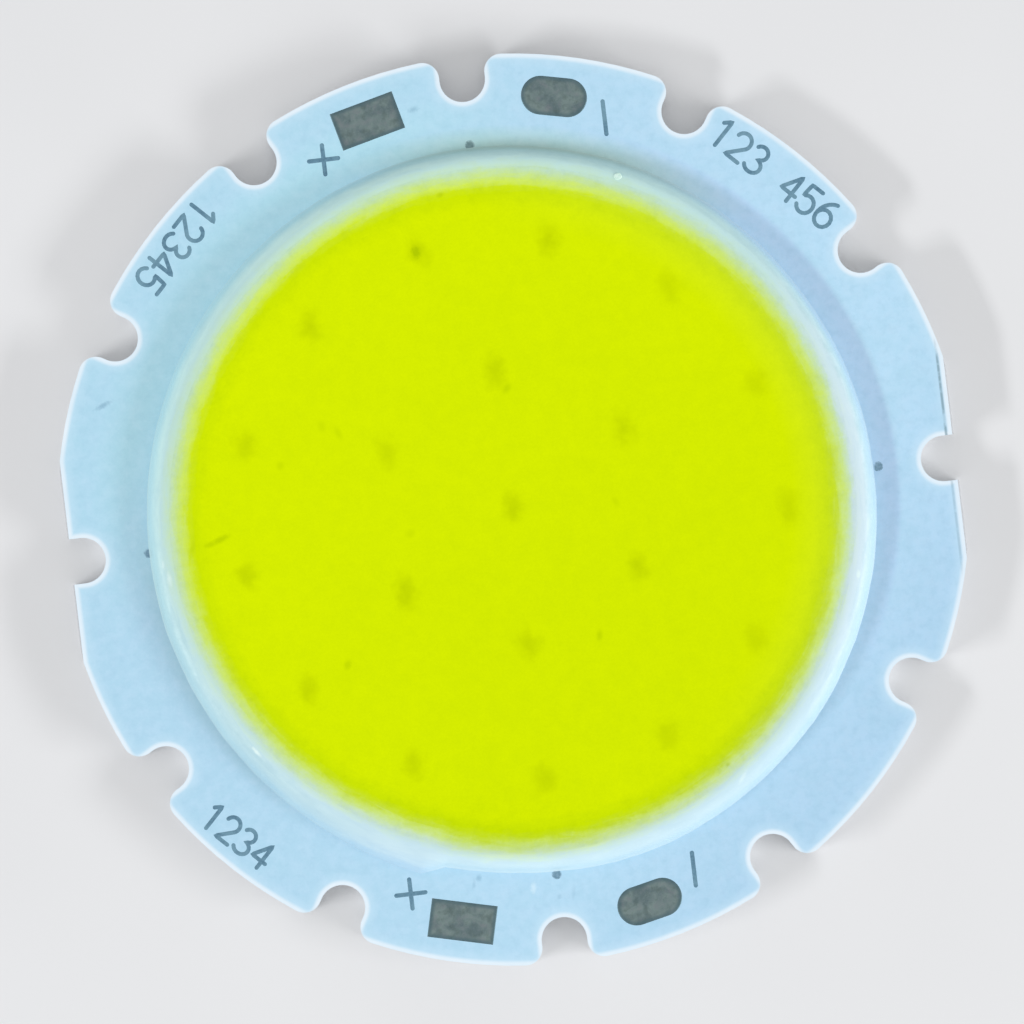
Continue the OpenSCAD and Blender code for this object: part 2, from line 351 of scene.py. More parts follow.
def make_mask():
    m = Tree("white_mask_satin")
    blotch = m.noise(0.55, 4.0, 0.6, offset=(7, 3, 0))
    cloud = m.noise(1.7, 4.0, 0.6, offset=(1, 8, 0))
    grain = m.noise(9.0, 3.0, 0.6)
    edge = board_edge(m)
    colour = mask_tone_with_shade(m)
    colour = m.mix(m.range(blotch, 0.35, 0.65, 0.0, 0.5), colour, srgb(178, 219, 241))
    colour = m.mix(m.range(cloud, 0.45, 0.75, 0.0, 0.45), colour, srgb(196, 227, 250))
    colour = m.mix(m.range(cloud, 0.5, 0.25, 0.0, 0.4), colour, srgb(172, 214, 236))
    colour = m.mix(m.range(grain, 0.3, 0.7, 0.0, 0.16), colour, srgb(198, 234, 252))
    patch = m.noise(2.6, 3.0, 0.6)
    colour = m.mix(m.range(patch, 0.48, 0.75, 0.0, 0.4), colour, srgb(168, 208, 232))
    # painted shade: darker towards the lower right edge
    colour = m.tint(m.range(lean(m, 322, 18), 0.8, 1.0), colour, 0.91, 0.915, 0.945)
    # painted shadow of the bead on the mask beside it
    colour = paint_bead_shadow(m, colour)
    colour = m.mix(marked(m, MARKS, grain), colour, srgb(120, 164, 190))
    colour = m.mix(marked(m, SMEARS, grain), colour, srgb(214, 240, 254))
    # painted highlight along the board's edge: a broad pale band, and a bright thin line at the
    # very edge
    edge_highlight = m.range(edge, 0.7, 0.1, 0.0, 0.45, smooth=True)
    colour = m.mix(edge_highlight, colour, srgb(204, 234, 252))
    rim = m.times(m.range(edge, 0.28, 0.08, smooth=True), m.range(blotch, 0.3, 0.7, 0.75, 0.98))
    colour = m.mix(rim, colour, srgb(234, 246, 255))
    # the scored line that the right flat was snapped along
    x, y, _ = m.xyz(m.mm)
    off = m.math("ABSOLUTE", m.minus(FLAT_X - SCORE_IN, x))
    line = m.times(m.range(off, 0.09, 0.02, smooth=True), m.range(y, -1.5, 1.5, 0.35, 0.8))
    line = m.times(line, m.range(cloud, 0.35, 0.5, 0.3, 1.0))
    line = m.times(line, m.range(m.radius(), 19.95, 19.7))
    colour = m.mix(line, colour, srgb(128, 158, 172))
    rough = m.range(grain, 0.3, 0.7, 0.42, 0.56)
    m.set(Base_Color=colour, Roughness=rough, Specular_IOR_Level=0.25)
    peel = m.plus(m.noise(2.6, 2.0, 0.5), m.times(grain, 0.35))
    m.bump(peel, 0.02, 0.35)
    return m.mat


def make_aluminium():
    m = Tree("brushed_aluminium")
    strokes = m.noise(1.0, 5.0, 0.62, at=m.stretch(0.35, 14, 6))
    fine = m.noise(1.0, 3.0, 0.6, at=m.stretch(1.5, 55, 30))
    cloud = m.noise(0.35, 2.0, 0.5)
    colour = m.mix(m.range(strokes, 0.3, 0.7), srgb(206, 210, 214), srgb(232, 234, 237))
    colour = m.mix(m.range(cloud, 0.4, 0.7, 0.0, 0.35), colour, srgb(198, 202, 208))
    rough = m.plus(m.range(fine, 0.3, 0.7, 0.0, 0.14), m.range(cloud, 0.3, 0.7, 0.26, 0.36))
    m.set(Base_Color=colour, Metallic=0.8, Roughness=rough)
    m.bump(m.plus(strokes, m.times(fine, 0.5)), 0.006, 0.5)
    return m.mat


def make_dielectric():
    m = Tree("filled_epoxy")
    specks = m.noise(14.0, 3.0, 0.7)
    colour = m.mix(m.range(specks, 0.35, 0.65), srgb(196, 208, 204), srgb(222, 232, 230))
    m.set(Base_Color=colour, Roughness=m.range(specks, 0.3, 0.7, 0.6, 0.75))
    m.bump(specks, 0.01, 0.5)
    return m.mat


def make_copper():
    m = Tree("etched_copper")
    cloud = m.noise(2.4, 3.0, 0.55)
    grain = m.noise(22.0, 2.0, 0.6)
    colour = m.mix(m.range(cloud, 0.35, 0.65), srgb(198, 118, 84), srgb(222, 148, 112))
    m.set(Base_Color=colour, Metallic=1.0, Roughness=m.range(grain, 0.3, 0.7, 0.3, 0.46))
    m.bump(grain, 0.004, 0.4)
    return m.mat


def make_tin():
    m = Tree("levelled_tin")
    cloud = m.noise(1.5, 3.0, 0.55, offset=(2, 9, 0), distortion=0.5)
    patch = m.noise(2.5, 3.0, 0.6, offset=(5, 1, 0))
    grain = m.noise(20.0, 2.0, 0.6)
    colour = m.mix(m.range(cloud, 0.38, 0.62), srgb(108, 128, 132), srgb(131, 150, 149))
    colour = m.mix(m.range(patch, 0.5, 0.68, 0.0, 0.6), colour, srgb(96, 114, 112))
    colour = m.mix(m.range(patch, 0.5, 0.32, 0.0, 0.5), colour, srgb(138, 144, 150))
    colour = m.mix(m.range(grain, 0.5, 0.8, 0.0, 0.25), colour, srgb(156, 168, 164))
    # painted shade: a dark outline round each pad's edge
    inset = m.t.nodes.new("ShaderNodeAttribute")
    inset.attribute_name = "inset"
    rim = m.range(inset.outputs["Fac"], 0.24, 0.05, 0.0, 0.65, smooth=True)
    colour = m.mix(rim, colour, srgb(82, 112, 122))
    m.set(Base_Color=colour, Metallic=0.85, Roughness=m.range(cloud, 0.3, 0.7, 0.42, 0.6))
    m.bump(m.plus(cloud, m.times(grain, 0.3)), 0.012, 0.4)
    return m.mat


def make_solder():
    m = Tree("reflowed_solder")
    grain = m.noise(12.0, 3.0, 0.6)
    colour = m.mix(m.range(grain, 0.35, 0.65), srgb(186, 190, 194), srgb(214, 217, 220))
    m.set(Base_Color=colour, Metallic=1.0, Roughness=m.range(grain, 0.3, 0.7, 0.25, 0.4))
    m.bump(grain, 0.004, 0.4)
    return m.mat


def make_chip():
    m = Tree("sapphire_die")
    grain = m.noise(6.0, 2.0, 0.5)
    colour = m.mix(m.range(grain, 0.35, 0.65), srgb(176, 196, 214), srgb(196, 214, 228))
    m.set(Base_Color=colour, Roughness=m.range(grain, 0.3, 0.7, 0.1, 0.2), IOR=1.77)
    m.bump(grain, 0.001, 0.3)
    return m.mat


# The yellow has half faded at FADE_R, and the fade runs from FADE_FROM to FADE_TO beside it, in mm
FADE_R = 14.5
FADE_FROM, FADE_TO = -1.2, 1.9
# From the yellow outwards over the bead, where the gel thins out: with painted shade on its shaded
# side and painted light on its lit side
FADE_DIM = (
    (-1.2, (220, 243, 0)),
    (-0.6, (211, 236, 3)),
    (-0.35, (210, 235, 32)),
    (-0.12, (210, 236, 94)),
    (0.08, (203, 230, 122)),
    (0.28, (197, 226, 158)),
    (0.48, (193, 224, 190)),
    (0.7, (195, 228, 213)),
    (0.95, (197, 232, 230)),
    (1.25, (186, 222, 224)),
    (1.5, (184, 216, 216)),
    (1.9, (172, 208, 214)),
)
FADE_LIT = (
    (-1.2, (216, 239, 0)),
    (-0.6, (205, 231, 3)),
    (-0.35, (202, 228, 32)),
    (-0.19, (205, 231, 66)),
    (0.02, (213, 240, 116)),
    (0.22, (216, 243, 159)),
    (0.42, (214, 241, 200)),
    (0.62, (206, 234, 226)),
    (0.85, (203, 231, 241)),
    (1.2, (202, 229, 240)),
    (1.5, (198, 226, 240)),
    (1.9, (184, 216, 238)),
)


def gel_reach(m):
    """How far in mm a point lies outside the ring where the yellow has half faded.

    The ring strays with the bead's inner edge. A ramp holds no negative values, so the
    stray is stored half a mm up.
    """
    x, y, _ = m.xyz(m.mm)
    flat = m.joined(x, y)
    r = m.vec("LENGTH", flat)
    turn = m.math("ARCTAN2", m.times(y, -1.0), m.times(x, -1.0))
    around = m.math("MULTIPLY_ADD", turn, 0.5 / math.pi, 0.5)
    stops = [(a / 360, [0.5 + inner] * 3 + [1.0]) for a, _, inner in BEAD_PATH]
    shift = m.minus(m.ramp(around, stops), 0.5)
    reach = m.minus(m.minus(r, FADE_R), shift)
    for value, amount in (
        (m.noise(0.9, 3.0, 0.6, at=flat), 0.2),
        (m.noise(5.0, 3.0, 0.65, at=flat), 0.24),
        (flow(m), 0.5),
    ):
        reach = m.plus(reach, m.times(m.minus(value, 0.5), amount))
    return reach


def flow(m):
    """Fine streaks that follow the bead round."""
    along = m.vec("MULTIPLY", m.vec("NORMALIZE", m.stretch(1, 1, 0)), (11, 11, 0))
    outward = m.joined(0.0, 0.0, m.times(m.radius(), 4.0))
    return m.noise(1.0, 3.0, 0.6, at=m.vec("ADD", along, outward), distortion=0.6)


def rim_blend(m):
    """Yellow where the gel is deep, white where it thins out over the bead."""
    reach = gel_reach(m)
    place = m.range(reach, FADE_FROM, FADE_TO)
    dim, lit = (
        m.ramp(place, [((r - FADE_FROM) / (FADE_TO - FADE_FROM), srgb(*c)) for r, c in fade])
        for fade in (FADE_DIM, FADE_LIT)
    )
    # painted light and shade: the lit table towards the lower right, the shaded one on the far
    # side
    colour = m.mix(lean(m, 290, 11), dim, lit)
    # painted shade greys the outer flank at the lower left, and a painted highlight whitens the
    # crest at the right
    flank = m.times(m.range(lean(m, 205, 16), 0.88, 0.98), m.range(reach, 0.8, 1.15))
    colour = m.tint(flank, colour, 0.86, 0.91, 0.92)
    crest = m.times(m.range(reach, 0.3, 0.7, smooth=True), m.range(reach, 1.3, 0.9, smooth=True))
    clear = m.times(m.range(lean(m, 357, 15.5), 0.86, 1.0, smooth=True), crest)
    return m.mix(m.times(clear, 0.65), colour, srgb(222, 240, 250))


def make_silicone():
    m = Tree("white_silicone")
    cloud = m.noise(0.7, 3.0, 0.55)
    grain = m.noise(7.0, 3.0, 0.6)
    streak = flow(m)
    colour = rim_blend(m)
    colour = m.tint(m.range(cloud, 0.4, 0.7, 0.0, 0.3), colour, 0.9, 0.95, 0.98)
    colour = m.tint(m.range(streak, 0.4, 0.7, 0.0, 0.4), colour, 0.88, 0.92, 0.95)
    # the thin outer foot lets the board show through, most of all round the upper half; the board
    # colour it takes carries painted shadow and painted shade
    height = m.minus(m.xyz(m.mm)[2], MASK_TOP / MM)
    sole = m.times(m.range(height, 0.55, 0.06), m.range(m.radius(), 15.2, 15.3))
    sole = m.times(sole, m.range(lean(m, 85, 16), 0.42, 0.68, 0.2, 0.9))
    board = m.tint(1.0, paint_bead_shadow(m, mask_tone_with_shade(m)), 0.95, 0.92, 0.88)
    colour = m.mix(sole, colour, board)
    # painted highlights: soft glints along the bead
    colour = m.mix(marked(m, GLINTS, grain), colour, srgb(228, 250, 248))
    rough = m.range(grain, 0.3, 0.7, 0.36, 0.5)
    m.set(Base_Color=colour, Roughness=rough, Specular_IOR_Level=0.26)
    m.bump(m.plus(m.times(streak, 0.5), m.times(grain, 0.12)), 0.03, 0.3)
    return m.mat


def make_phosphor():
    m = Tree("yellow_phosphor_gel")
    base = rim_blend(m)
    # a little blue added near the bead at the right
    blue_tinge = m.times(m.range(lean(m, 15, 15), 0.62, 0.95), m.range(m.radius(), 12.2, 14.0))
    base = m.mix(blue_tinge, base, (0.0, 0.0, 0.012, 1.0), "ADD")
    broad = m.noise(0.12, 2.0, 0.5, offset=(4, 0, 0))
    mottle = m.noise(1.6, 4.0, 0.6)
    grain = m.noise(9.0, 3.0, 0.65)
    base = m.tint(m.range(broad, 0.35, 0.7, 0.0, 0.35), base, 0.95, 0.965, 1.0)
    for value in (mottle, grain):
        base = m.tint(m.range(value, 0.35, 0.7, 0.0, 0.6), base, 0.93, 0.945, 1.0)
    base = m.mix(m.times(chip_shade(m), 0.48), base, srgb(172, 193, 0))
    base = m.mix(marked(m, GEL_MARKS, grain), base, srgb(178, 204, 0))
    # faint patches near the bead
    patch = m.range(m.noise(1.9, 3.0, 0.6, offset=(3, 3, 0)), 0.48, 0.72, 0.0, 0.45)
    base = m.tint(m.times(m.range(m.radius(), 12.6, 14.2), patch), base, 0.84, 0.87, 0.9)
    m.set(
        Base_Color=base,
        Roughness=m.range(mottle, 0.3, 0.7, 0.42, 0.52),
        Specular_IOR_Level=0.3,
        Specular_Tint=(1.0, 1.0, 0.02, 1.0),
    )
    m.bump(m.plus(m.noise(0.8, 2.0, 0.5), m.times(grain, 0.1)), 0.02, 0.4)
    return m.mat


def chip_shade(m):
    """The ragged smudge over each chip: 0 beside it, and up to 1 at its middle."""
    shade = None
    sway = m.vec("SUBTRACT", m.noise(1.8, output="Color"), (0.5, 0.5, 0.5))
    ragged = m.vec("ADD", m.mm, m.vec("MULTIPLY", sway, (0.9, 1.1, 0)))
    for low, high in CHIPS:
        shift = Vector((random.uniform(-0.08, 0.08), random.uniform(-0.12, 0.12), 0))
        centre = (low + high) / 2 / MM + shift
        spread = (1 / random.uniform(0.72, 0.86), 1 / random.uniform(0.95, 1.2), 0)
        away = m.vec("LENGTH", m.vec("MULTIPLY", m.vec("SUBTRACT", ragged, centre), spread))
        one = m.range(away, 1.0, 0.0, 0.0, random.uniform(0.65, 1.0), smooth=True)
        shade = one if shade is None else m.math("MAXIMUM", shade, one)
    return shade


def make_ink():
    m = Tree("grey_blue_ink")
    worn = m.noise(7.0, 4.0, 0.65)
    faint = m.noise(0.9, 2.0, 0.5)
    colour = m.mix(m.range(worn, 0.35, 0.7), srgb(80, 120, 144), srgb(106, 148, 170))
    colour = m.mix(m.range(faint, 0.42, 0.62, 0.0, 0.5), colour, srgb(126, 166, 184))
    m.set(Base_Color=colour, Roughness=m.range(worn, 0.3, 0.7, 0.55, 0.7))
    m.bump(worn, 0.006, 0.4)
    return m.mat


def make_dot():
    m = Tree("bare_alignment_dot")
    cloud = m.noise(6.0, 3.0, 0.6)
    blue = m.mix(m.range(cloud, 0.35, 0.65), srgb(102, 140, 162), srgb(134, 168, 190))
    grey = m.mix(m.range(cloud, 0.35, 0.65), srgb(104, 136, 140), srgb(126, 158, 162))
    # painted shade: greyer and greener towards the top, like the painted shadow on the mask there
    colour = m.mix(m.range(lean(m, 90, 16), 0.6, 0.9), blue, grey)
    # the mask's ragged edge veils each dot's rim, in the mask's colour with its painted shade and
    # shadow
    x, y = (m.math("ABSOLUTE", v) for v in list(m.xyz(m.mm))[:2])
    out = m.minus(m.math("MAXIMUM", x, y), DAM_OUT / MM + DOT_OUT)
    away = m.vec("LENGTH", m.joined(out, m.math("MINIMUM", x, y)))
    away = m.plus(away, m.range(m.noise(4.0, 3.0, 0.6), 0.3, 0.7, -0.06, 0.06))
    colour = m.mix(m.range(away, 0.16, 0.25), colour, paint_bead_shadow(m, mask_tone_with_shade(m)))
    m.set(Base_Color=colour, Roughness=m.range(cloud, 0.3, 0.7, 0.5, 0.65))
    m.bump(cloud, 0.01, 0.4)
    return m.mat


def make_nib():
    m = Tree("pale_silicone_nib")
    cloud = m.noise(9.0, 3.0, 0.6)
    colour = m.mix(m.range(cloud, 0.35, 0.65), srgb(200, 236, 222), srgb(220, 247, 238))
    m.set(Base_Color=colour, Roughness=m.range(cloud, 0.3, 0.7, 0.35, 0.5))
    m.bump(cloud, 0.004, 0.3)
    return m.mat


BY_SLOT = {
    "white_mask": make_mask(),
    "aluminium": make_aluminium(),
    "dielectric": make_dielectric(),
    "copper": make_copper(),
    "tin": make_tin(),
    "solder": make_solder(),
    "chip": make_chip(),
    "silicone": make_silicone(),
    "phosphor": make_phosphor(),
}
INK = make_ink()
DOT = make_dot()
NIB = make_nib()

# ---------------------------------------------------------------- mesh helpers

SHARP = math.radians(45)


def add_piece(name, mesh, material, slot, *stands_for):
    """Puts a mesh in the scene as a piece of its own, or in place of CAD nodes."""
    mesh.materials.append(material)
    mesh.validate()
    obj = bpy.data.objects.new(name, mesh)
    bpy.context.collection.objects.link(obj)
    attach(obj, "root")
    if stands_for:
        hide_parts(*stands_for)
    return obj


def mesh_of(name, verts, faces):
    """A smooth-shaded mesh whose sharp bends stay sharp."""
    mesh = bpy.data.meshes.new(name)
    mesh.from_pydata([tuple(v) for v in verts], [], faces)
    mesh.update()
    bm = bmesh.new()
    bm.from_mesh(mesh)
    bmesh.ops.recalc_face_normals(bm, faces=bm.faces)
    for e in bm.edges:
        e.smooth = e.calc_face_angle(0.0) < SHARP
    bm.to_mesh(mesh)
    bm.free()
    for p in mesh.polygons:
        p.use_smooth = True
    return mesh


def ring_mesh(name, section, turns, place):
    """A closed ring: section gives (r, z) pairs, and place moves each point at its angle."""
    verts, faces = [], []
    k = len(section)
    for j in range(turns):
        a = 2 * math.pi * j / turns
        for r, z in section:
            r2, z2 = place(r, z, a)
            verts.append((r2 * math.cos(a), r2 * math.sin(a), z2))
    for j in range(turns):
        n = (j + 1) % turns
        for i in range(k):
            faces.append((j * k + i, j * k + (i + 1) % k, n * k + (i + 1) % k, n * k + i))
    return mesh_of(name, verts, faces)


def disc_mesh(name, rings, place):
    """A closed disc from rings of (r, z, points): out over the top, down, and back below."""
    verts, faces = [], []
    before = []
    for r, z, count in rings:
        ring = []
        for j in range(count):
            a = 2 * math.pi * j / count
            r2, z2 = place(r, z, a)
            ring.append(len(verts))
            verts.append((r2 * math.cos(a), r2 * math.sin(a), z2))
        if before:
            faces += between(before, ring)
        else:
            top = ring
        before = ring
    for ring, centre_z in ((top, rings[0][1]), (before, rings[-1][1])):
        centre = len(verts)
        verts.append((0, 0, place(0.0, centre_z, 0.0)[1]))
        faces += [(centre, ring[j - 1], ring[j]) for j in range(len(ring))]
    return mesh_of(name, verts, faces)


def between(a, b):
    """Faces between two rings that may differ in their number of points."""
    if len(a) == len(b):
        return [(a[j - 1], a[j], b[j], b[j - 1]) for j in range(len(a))]
    out, i, j = [], 0, 0
    while i < len(a) or j < len(b):
        if j >= len(b) or (i < len(a) and (i + 0.5) * len(b) < (j + 0.5) * len(a)):
            out.append((a[i % len(a)], a[(i + 1) % len(a)], b[j % len(b)]))
            i += 1
        else:
            out.append((a[i % len(a)], b[(j + 1) % len(b)], b[j % len(b)]))
            j += 1
    return out


def ring_noise(a, scale, seed):
    """Noise along the dam's middle line, at the angle a."""
    p = Vector((DAM_MID / MM * math.cos(a), DAM_MID / MM * math.sin(a), seed)) * scale
    return noise.noise(p)


# ---------------------------------------------------------------- dam

BEAD_H = DAM_TOP - MASK_TOP
BEAD_HALF = DAM_W / 2
BEAD_RADIUS = (BEAD_HALF**2 + BEAD_H**2) / (2 * BEAD_H)
BEAD_CENTRE_Z = DAM_TOP - BEAD_RADIUS
BEAD_STEPS = 32
FOOT_STEPS = 8
FOOT_RUN = 0.09 * MM
FLARE = math.radians(62)
DAM_TURNS = 720


def bead_section():
    """The bead's round top, from its outer foot over to its inner foot, with a flat underside."""
    reach = math.asin(BEAD_HALF / BEAD_RADIUS)
    top = []
    for i in range(BEAD_STEPS + 1):
        t = FLARE - (FLARE + reach) * i / BEAD_STEPS
        r, z = BEAD_RADIUS * math.sin(t), BEAD_RADIUS * math.cos(t)
        top.append((DAM_MID + r, BEAD_CENTRE_Z + z))
    # the outer flank wets the mask: it runs out in a short hollow curve
    start = Vector((DAM_MID + (BEAD_HALF + FOOT_RUN), MASK_TOP))
    bend = Vector((DAM_MID + BEAD_HALF + 0.02 * MM, MASK_TOP + 0.03 * MM))
    stop = Vector(top[0])
    foot = []
    for i in range(FOOT_STEPS):
        t = i / FOOT_STEPS
        foot.append(tuple(start * (1 - t) ** 2 + bend * 2 * t * (1 - t) + stop * t**2))
    return foot + top


def bead_height(r):
    return BEAD_CENTRE_Z + math.sqrt(BEAD_RADIUS**2 - (r - DAM_MID) ** 2)


def bead_dip(z, a):
    """How far the bead's top sinks in places, so that its crest isn't quite level."""
    return 0.01 * (1 + ring_noise(a, 0.4, 4.4)) * max(0.0, z - MASK_TOP) / BEAD_H * MM


def place_dam(r, z, a):
    """Moves each edge of the bead by its stray, and leaves its middle line where it is."""
    outward = (r - DAM_MID) / BEAD_HALF
    degrees = math.degrees(a) % 360
    small = 0.02 * ring_noise(a, 0.9, 1.7) + 0.012 * ring_noise(a, 2.6, 8.1)
    r += (stray(degrees, 1 if outward > 0 else 2) + small) * MM * min(1.0, abs(outward))
    return r, z - bead_dip(z, a)


dam_mesh = ring_mesh("dam_bead", bead_section(), DAM_TURNS, place_dam)
add_piece("dam_bead", dam_mesh, BY_SLOT["silicone"], "silicone", "dam_ring")

# ---------------------------------------------------------------- gel

MENISCUS_FROM, GEL_TOP = min(
    (v.co.xy.length, v.co.z)
    for v in nodes["phosphor_gel"].data.vertices
    if v.co.z > GEL_FLOOR + 0.4 * MM
)
CLIMB_FROM, CLIMB_TO = MENISCUS_FROM - 0.1 * MM, GEL_R + 0.05 * MM
GEL_TURNS = 360
CLIMB_STEPS = 24


def gel_section():
    """The gel's top runs level, then climbs and ends flush on the bead's inner flank."""
    section = [(0.36 * i * MM, GEL_TOP, 6 * i) for i in range(1, 38)]
    section.append((13.75 * MM, GEL_TOP, GEL_TURNS))
    climb = CLIMB_TO - CLIMB_FROM
    rise = bead_height(CLIMB_TO) - GEL_TOP
    slope = (DAM_MID - CLIMB_TO) / (bead_height(CLIMB_TO) - BEAD_CENTRE_Z) * climb
    for i in range(CLIMB_STEPS + 1):
        t = i / CLIMB_STEPS
        z = GEL_TOP + rise * (3 * t**2 - 2 * t**3) + slope * (t**3 - t**2)
        section.append((CLIMB_FROM + climb * t, z + 0.002 * MM * t, GEL_TURNS))
    for step, sink in ((0.03, 0.001), (0.06, -0.001), (0.09, -0.006), (0.1, -0.05)):
        r = CLIMB_TO + step * MM
        section.append((r, bead_height(r) + sink * MM, GEL_TURNS))
    section.append((DAM_OUT - DAM_W + 0.1 * MM, GEL_FLOOR, GEL_TURNS))
    section += [(r * MM, GEL_FLOOR, count) for r, count in ((12.0, 120), (7.0, 60), (2.0, 18))]
    return section


def place_gel(r, z, a):
    """The gel's edge strays with the bead, and its top swells and sinks a little."""
    inner = min(1.0, max(0.0, (r / MM - 12.0) / 2.4))
    on_bead = max(r, DAM_MID - BEAD_HALF)
    strayed, _ = place_dam(on_bead, z, a)
    if z > GEL_TOP - 0.001 * MM:
        p = Vector((r * math.cos(a), r * math.sin(a), 0)) / MM
        edge = min(1.0, max(0.0, (CLIMB_TO - r) / (0.9 * MM)))
        z += (0.012 * noise.noise(p * 0.3) + 0.006 * noise.noise(p * 0.9) - 0.012) * MM * edge
    return r + (strayed - on_bead) * inner**2, z - bead_dip(z, a)


gel_mesh = disc_mesh("phosphor_pour", gel_section(), place_gel)
add_piece("phosphor_pour", gel_mesh, BY_SLOT["phosphor"], "phosphor", "phosphor_gel")

# ---------------------------------------------------------------- solder pads

PAD_CORNER_STEPS = 8
# The skin's rings: share of the pad's half width, and depth below the pad's top in mm
PAD_RINGS = (
    (0.985, 0.014),
    (0.95, 0.006),
    (0.9, 0.003),
    (0.85, 0.002),
    (0.8, 0.0),
    (0.75, 0.0),
    (0.7, 0.0),
    (0.5, 0.0),
    (0.3, 0.0),
    (0.12, 0.0),
)
# From this ring on, the skin dips a little here and there
PAD_FIRST_DIP = 4


def pad_mesh(name, node, rounded):
    """A thin tinned pad: a domed skin whose edge draws down to the copper."""
    low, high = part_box(node)
    top = high.z
    centre = (low + high) / 2
    # the pad's long axis follows the round edge of the board
    turn = math.atan2(centre.y, centre.x) - math.pi / 2
    along = Vector((math.cos(turn), math.sin(turn), 0))
    across = Vector((-along.y, along.x, 0))
    half_l = max(abs((v.co - centre).dot(along)) for v in nodes[node].data.vertices)
    half_w = max(abs((v.co - centre).dot(across)) for v in nodes[node].data.vertices)
    corner = half_w * (0.985 if rounded else 0.04)
    rim = []
    for cx, cy, start in ((1, 1, 0), (-1, 1, 90), (-1, -1, 180), (1, -1, 270)):
        for i in range(PAD_CORNER_STEPS + 1):
            t = math.radians(start + 90 * i / PAD_CORNER_STEPS)
            x = cx * (half_l - corner) + corner * math.cos(t)
            y = cy * (half_w - corner) + corner * math.sin(t)
            rim.append((x, y))
    levels = [(1.0, low.z), (1.0, top - 0.03 * MM)]
    levels += [(share, top - depth * MM) for share, depth in PAD_RINGS]
    verts, faces, insets = [], [], []
    k = len(rim)
    for n, (share, z) in enumerate(levels):
        # rings step inwards by the same distance all round
        step = (1 - share) * half_w
        for x, y in rim:
            sx = x * max(0.02, (half_l - step) / half_l)
            sy = y * max(0.02, (half_w - step) / half_w)
            p = centre + along * sx + across * sy
            p.z = z
            if n >= PAD_FIRST_DIP:
                p.z -= (0.004 + 0.004 * noise.noise(Vector((p.x, p.y, 0)) / MM * 1.6)) * MM
            verts.append(p)
            insets.append(step / MM)
    for n in range(len(levels) - 1):
        for i in range(k):
            j = (i + 1) % k
            faces.append((n * k + i, n * k + j, (n + 1) * k + j, (n + 1) * k + i))
    faces.append(tuple(range(k)))
    faces.append(tuple(reversed(range((len(levels) - 1) * k, len(levels) * k))))
    mesh = mesh_of(name, verts, faces)
    mesh.attributes.new("inset", "FLOAT", "POINT").data.foreach_set("value", insets)
    return mesh


for sign, rounded in (("positive", False), ("negative", True)):
    for i in (1, 2):
        node = f"{sign}_pad_{i}"
        name = f"{node}_tinned"
        add_piece(name, pad_mesh(name, node, rounded), BY_SLOT["tin"], "tin", node)

# ---------------------------------------------------------------- ink

INK_H = 0.008 * MM
STROKE = 0.19 * MM
DIGIT_STROKE = 0.95 * STROKE
STROKE_STEP = 0.08 * MM
STROKE_SIDES = 7
ARC_STEPS = 14


def stroke_mesh(parts, points, width):
    """Adds one domed, round-ended stroke along points to parts, a (verts, faces) pair."""
    verts, faces = parts
    half = width / 2
    path = [Vector(p) for p in points]
    fine = []
    for a, b in zip(path, path[1:]):
        n = max(1, round((b - a).length / STROKE_STEP))
        fine += [a.lerp(b, i / n) for i in range(n)]
    fine.append(path[-1])
    samples = []
    ends = [math.radians(d) for d in (85, 70, 50, 30, 12)]
    first = (fine[1] - fine[0]).normalized()
    last = (fine[-1] - fine[-2]).normalized()
    for t in ends:
        samples.append((fine[0] - first * half * math.sin(t), math.cos(t), first))
    for i, p in enumerate(fine):
        d = (fine[min(i + 1, len(fine) - 1)] - fine[max(i - 1, 0)]).normalized()
        samples.append((p, 1.0, d))
    for t in reversed(ends):
        samples.append((fine[-1] + last * half * math.sin(t), math.cos(t), last))
    base = len(verts)
    k = STROKE_SIDES
    for p, share, d in samples:
        side = Vector((-d.y, d.x, 0))
        for i in range(k):
            t = math.pi * i / (k - 1)
            q = p + side * (half * share * math.cos(t))
            q.z = MASK_TOP + INK_H * math.sin(t) * share
            verts.append(q)
    for j in range(len(samples) - 1):
        here, there = base + j * k, base + (j + 1) * k
        for i in range(k):
            n = (i + 1) % k
            faces.append((here + i, here + n, there + n, there + i))
    faces.append(tuple(base + i for i in range(k)))
    end = base + (len(samples) - 1) * k
    faces.append(tuple(end + i for i in reversed(range(k))))


def arc(cx, cy, rx, ry, start, stop):
    """Points along part of an ellipse, from the angle start to stop in degrees."""
    turns = [math.radians(start + (stop - start) * i / ARC_STEPS) for i in range(ARC_STEPS + 1)]
    return [(cx + rx * math.cos(t), cy + ry * math.sin(t)) for t in turns]


# Plain drafting digits in a box DIGIT_W wide and 1 high
DIGIT_W = 0.62
DIGITS = {
    "1": [[(0.14, 0.8), (0.36, 1.0), (0.36, 0.0)]],
    "2": [arc(0.31, 0.71, 0.28, 0.29, 165, -35) + [(0.04, 0.0), (0.6, 0.0)]],
    "3": [arc(0.29, 0.76, 0.25, 0.24, 150, -90) + arc(0.29, 0.26, 0.3, 0.26, 90, -150)[1:]],
    "4": [[(0.46, 0.0), (0.46, 1.0), (0.02, 0.3), (0.62, 0.3)]],
    "5": [[(0.55, 1.0), (0.1, 1.0), (0.06, 0.56)] + arc(0.29, 0.32, 0.29, 0.32, 128, -150)],
    "6": [arc(0.62, 0.34, 0.6, 0.66, 105, 180)[:-1] + arc(0.31, 0.31, 0.29, 0.31, 180, -180)],
}


